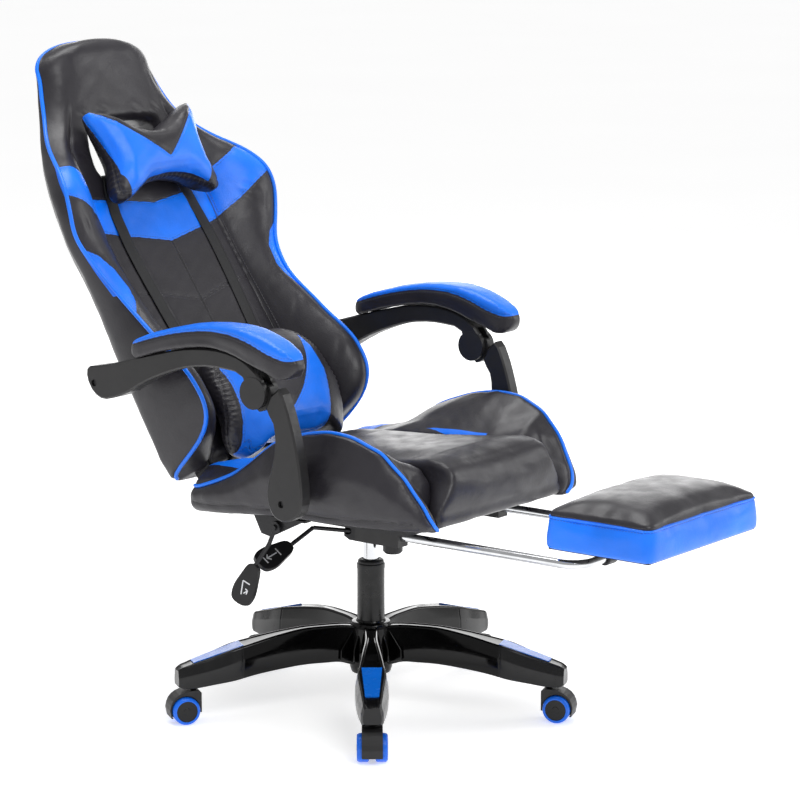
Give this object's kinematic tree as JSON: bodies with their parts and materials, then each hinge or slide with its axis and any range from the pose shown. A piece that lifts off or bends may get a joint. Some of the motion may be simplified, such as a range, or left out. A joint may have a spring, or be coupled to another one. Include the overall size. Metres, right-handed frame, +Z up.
{
  "type": "gaming chair",
  "caption": "Reclining swivel chair with bucket seat, winged back, pillows, linked armrests, pull-out footrest, gas lift and five-leg caster base.",
  "frame": {"origin": "on the floor, under the middle of the bounding box", "axes": "+Z up; the sitter faces -Y, so the back leans towards +Y and the footrest reaches towards -Y; +X is the sitter's left"},
  "size_m": [0.7288, 1.3864, 1.1846],
  "materials": {
    "leather_black": "satin",
    "leather_blue": "satin",
    "nylon_black": "gloss",
    "plastic_blue": "gloss",
    "plastic_black": "satin",
    "steel_dark": "satin",
    "chrome": "polished"
  },
  "bodies": {
    "base": {"base_star": "nylon_black", "base_insert_1": "plastic_blue", "base_insert_2": "plastic_blue", "base_insert_3": "plastic_blue", "base_insert_4": "plastic_blue", "base_insert_5": "plastic_blue", "gas_cylinder": "nylon_black"},
    "caster_1": {"caster_hood_1": "plastic_black"},
    "wheel_1a": {"caster_wheel_1a": "plastic_blue"},
    "wheel_1b": {"caster_wheel_1b": "plastic_blue"},
    "caster_2": {"caster_hood_2": "plastic_black"},
    "wheel_2a": {"caster_wheel_2a": "plastic_blue"},
    "wheel_2b": {"caster_wheel_2b": "plastic_blue"},
    "caster_3": {"caster_hood_3": "plastic_black"},
    "wheel_3a": {"caster_wheel_3a": "plastic_blue"},
    "wheel_3b": {"caster_wheel_3b": "plastic_blue"},
    "caster_4": {"caster_hood_4": "plastic_black"},
    "wheel_4a": {"caster_wheel_4a": "plastic_blue"},
    "wheel_4b": {"caster_wheel_4b": "plastic_blue"},
    "caster_5": {"caster_hood_5": "plastic_black"},
    "wheel_5a": {"caster_wheel_5a": "plastic_blue"},
    "wheel_5b": {"caster_wheel_5b": "plastic_blue"},
    "lift": {"gas_piston": "chrome"},
    "mechanism": {"mechanism_housing": "steel_dark"},
    "tension_knob": {"tension_knob": "plastic_black"},
    "height_lever": {"height_lever_bar": "steel_dark", "height_lever_paddle": "plastic_black"},
    "seat": {"seat_cushion": "leather_black", "seat_bolster_left": "leather_black", "seat_bolster_right": "leather_black", "seat_frame": "steel_dark", "seat_plate": "steel_dark", "recliner_plate_left": "steel_dark", "recliner_plate_right": "steel_dark", "lever_bracket": "steel_dark", "arm_foot_bolt_left": "steel_dark", "arm_foot_bolt_right": "steel_dark", "rail_guide_left": "plastic_black", "rail_guide_right": "plastic_black"},
    "recline_lever": {"recline_lever_bar": "steel_dark", "recline_lever_paddle": "plastic_black"},
    "backrest": {"backrest_cushion": "leather_black", "back_frame": "steel_dark", "back_plate_left": "steel_dark", "back_plate_right": "steel_dark", "recline_pin_left": "steel_dark", "recline_pin_right": "steel_dark", "arm_rear_bolt_left": "steel_dark", "arm_rear_bolt_right": "steel_dark"},
    "lumbar_pillow": {"lumbar_pillow": "leather_blue"},
    "neck_pillow": {"neck_pillow": "leather_blue"},
    "arm_leg_left": {"arm_leg_left": "plastic_black"},
    "arm_leg_right": {"arm_leg_right": "plastic_black"},
    "arm_bar_left": {"arm_bar_left": "plastic_black", "arm_pad_left": "leather_black"},
    "arm_bar_right": {"arm_bar_right": "plastic_black", "arm_pad_right": "leather_black"},
    "footrest": {"footrest_frame": "chrome"},
    "footrest_pad": {"footrest_bracket": "steel_dark", "footrest_pad": "leather_blue"}
  },
  "joints": [
    {"name": "caster_swivel_1", "type": "hinge", "parent": "base", "child": "caster_1", "pos_m": [-0.28243, -0.19243, 0.06979], "axis": [0, 0, 1], "continuous": true},
    {"name": "wheel_spin_1a", "type": "hinge", "parent": "caster_1", "child": "wheel_1a", "pos_m": [-0.28923, -0.21296, 0.02479], "axis": [0.6157, -0.788, 0], "continuous": true},
    {"name": "wheel_spin_1b", "type": "hinge", "parent": "caster_1", "child": "wheel_1b", "pos_m": [-0.304, -0.19405, 0.02479], "axis": [0.6157, -0.788, 0], "continuous": true},
    {"name": "caster_swivel_2", "type": "hinge", "parent": "base", "child": "caster_2", "pos_m": [0.09613, -0.30098, 0.06979], "axis": [0, 0, 1], "continuous": true},
    {"name": "wheel_spin_2a", "type": "hinge", "parent": "caster_2", "child": "wheel_2a", "pos_m": [0.11356, -0.31379, 0.02479], "axis": [0.9397, 0.342, 0], "continuous": true},
    {"name": "wheel_spin_2b", "type": "hinge", "parent": "caster_2", "child": "wheel_2b", "pos_m": [0.09101, -0.32199, 0.02479], "axis": [0.9397, 0.342, 0], "continuous": true},
    {"name": "caster_swivel_3", "type": "hinge", "parent": "base", "child": "caster_3", "pos_m": [0.31635, 0.02551, 0.06979], "axis": [0, 0, 1], "continuous": true},
    {"name": "wheel_spin_3a", "type": "hinge", "parent": "caster_3", "child": "wheel_3a", "pos_m": [0.33392, 0.03813, 0.02479], "axis": [-0.0349, 0.9994, 0], "continuous": true},
    {"name": "wheel_spin_3b", "type": "hinge", "parent": "caster_3", "child": "wheel_3b", "pos_m": [0.33476, 0.01415, 0.02479], "axis": [-0.0349, 0.9994, 0], "continuous": true},
    {"name": "caster_swivel_4", "type": "hinge", "parent": "base", "child": "caster_4", "pos_m": [0.07389, 0.33584, 0.06979], "axis": [0, 0, 1], "continuous": true},
    {"name": "wheel_spin_4a", "type": "hinge", "parent": "caster_4", "child": "wheel_4a", "pos_m": [0.06732, 0.35645, 0.02479], "axis": [-0.9613, 0.2756, 0], "continuous": true},
    {"name": "wheel_spin_4b", "type": "hinge", "parent": "caster_4", "child": "wheel_4b", "pos_m": [0.09039, 0.34984, 0.02479], "axis": [-0.9613, 0.2756, 0], "continuous": true},
    {"name": "caster_swivel_5", "type": "hinge", "parent": "base", "child": "caster_5", "pos_m": [-0.29618, 0.20115, 0.06979], "axis": [0, 0, 1], "continuous": true},
    {"name": "wheel_spin_5a", "type": "hinge", "parent": "caster_5", "child": "wheel_5a", "pos_m": [-0.31781, 0.20127, 0.02479], "axis": [-0.5592, -0.829, 0], "continuous": true},
    {"name": "wheel_spin_5b", "type": "hinge", "parent": "caster_5", "child": "wheel_5b", "pos_m": [-0.30439, 0.22117, 0.02479], "axis": [-0.5592, -0.829, 0], "continuous": true},
    {"name": "gas_lift", "type": "slide", "parent": "base", "child": "lift", "axis": [0, 0, 1], "range_m": [-0.03, 0.05]},
    {"name": "seat_swivel", "type": "hinge", "parent": "lift", "child": "mechanism", "pos_m": [-0.01845, 0.01382, 0.32979], "axis": [0, 0, 1], "continuous": true},
    {"name": "seat_tilt", "type": "hinge", "parent": "mechanism", "child": "seat", "pos_m": [-0.01845, -0.03618, 0.34379], "axis": [-1, 0, 0], "range_deg": [0, 10], "stiffness_Nm_per_rad": 420, "springref_deg": -10.31},
    {"name": "tension_turn", "type": "hinge", "parent": "mechanism", "child": "tension_knob", "pos_m": [-0.01845, -0.03618, 0.29979], "axis": [0, 0, 1], "continuous": true},
    {"name": "height_lever_lift", "type": "hinge", "parent": "mechanism", "child": "height_lever", "pos_m": [-0.04445, 0.02382, 0.32579], "axis": [0, 1, 0], "range_deg": [0, 6], "stiffness_Nm_per_rad": 0.8, "springref_deg": -17.19},
    {"name": "recline_lever_lift", "type": "hinge", "parent": "seat", "child": "recline_lever", "pos_m": [-0.23045, 0.06182, 0.36179], "axis": [1, 0, 0], "range_deg": [0, 20], "stiffness_Nm_per_rad": 0.8, "springref_deg": -17.19},
    {"name": "back_recline", "type": "hinge", "parent": "seat", "child": "backrest", "pos_m": [-0.01845, 0.24882, 0.39979], "axis": [-1, 0, 0], "range_deg": [-30, 10]},
    {"name": "lumbar_slide", "type": "slide", "parent": "backrest", "child": "lumbar_pillow", "axis": [0, 0.5664, 0.8241], "range_m": [-0.01, 0.05]},
    {"name": "neck_slide", "type": "slide", "parent": "backrest", "child": "neck_pillow", "axis": [0, 0.4399, 0.898], "range_m": [-0.03, 0.03]},
    {"name": "arm_leg_swing_left", "type": "hinge", "parent": "seat", "child": "arm_leg_left", "pos_m": [0.29855, -0.04778, 0.43719], "axis": [-1, 0, 0], "range_deg": [-35, 12]},
    {"name": "arm_bar_swing_left", "type": "hinge", "parent": "backrest", "child": "arm_bar_left", "pos_m": [0.29855, 0.37542, 0.60359], "axis": [-1, 0, 0], "range_deg": [-8.5, 25]},
    {"name": "arm_leg_swing_right", "type": "hinge", "parent": "seat", "child": "arm_leg_right", "pos_m": [-0.33545, -0.04778, 0.43719], "axis": [-1, 0, 0], "range_deg": [-35, 12]},
    {"name": "arm_bar_swing_right", "type": "hinge", "parent": "backrest", "child": "arm_bar_right", "pos_m": [-0.33545, 0.37542, 0.60359], "axis": [-1, 0, 0], "range_deg": [-8.5, 25]},
    {"name": "footrest_slide", "type": "slide", "parent": "seat", "child": "footrest", "axis": [0, 1, 0], "range_m": [0, 0.3]},
    {"name": "footrest_pad_turn", "type": "hinge", "parent": "footrest", "child": "footrest_pad", "pos_m": [-0.01845, -0.53718, 0.36579], "axis": [1, 0, 0], "range_deg": [-0.5, 180.5]}
  ],
  "couplings": [
    {"joint": "arm_leg_swing_left", "follows": "back_recline", "ratio": 1.157},
    {"joint": "arm_leg_swing_right", "follows": "back_recline", "ratio": 1.157},
    {"joint": "arm_bar_swing_left", "follows": "back_recline", "ratio": -0.8115},
    {"joint": "arm_bar_swing_right", "follows": "back_recline", "ratio": -0.8115},
    {"joint": "footrest_pad_turn", "follows": "footrest_slide", "rad_per_m": 10.472}
  ]
}
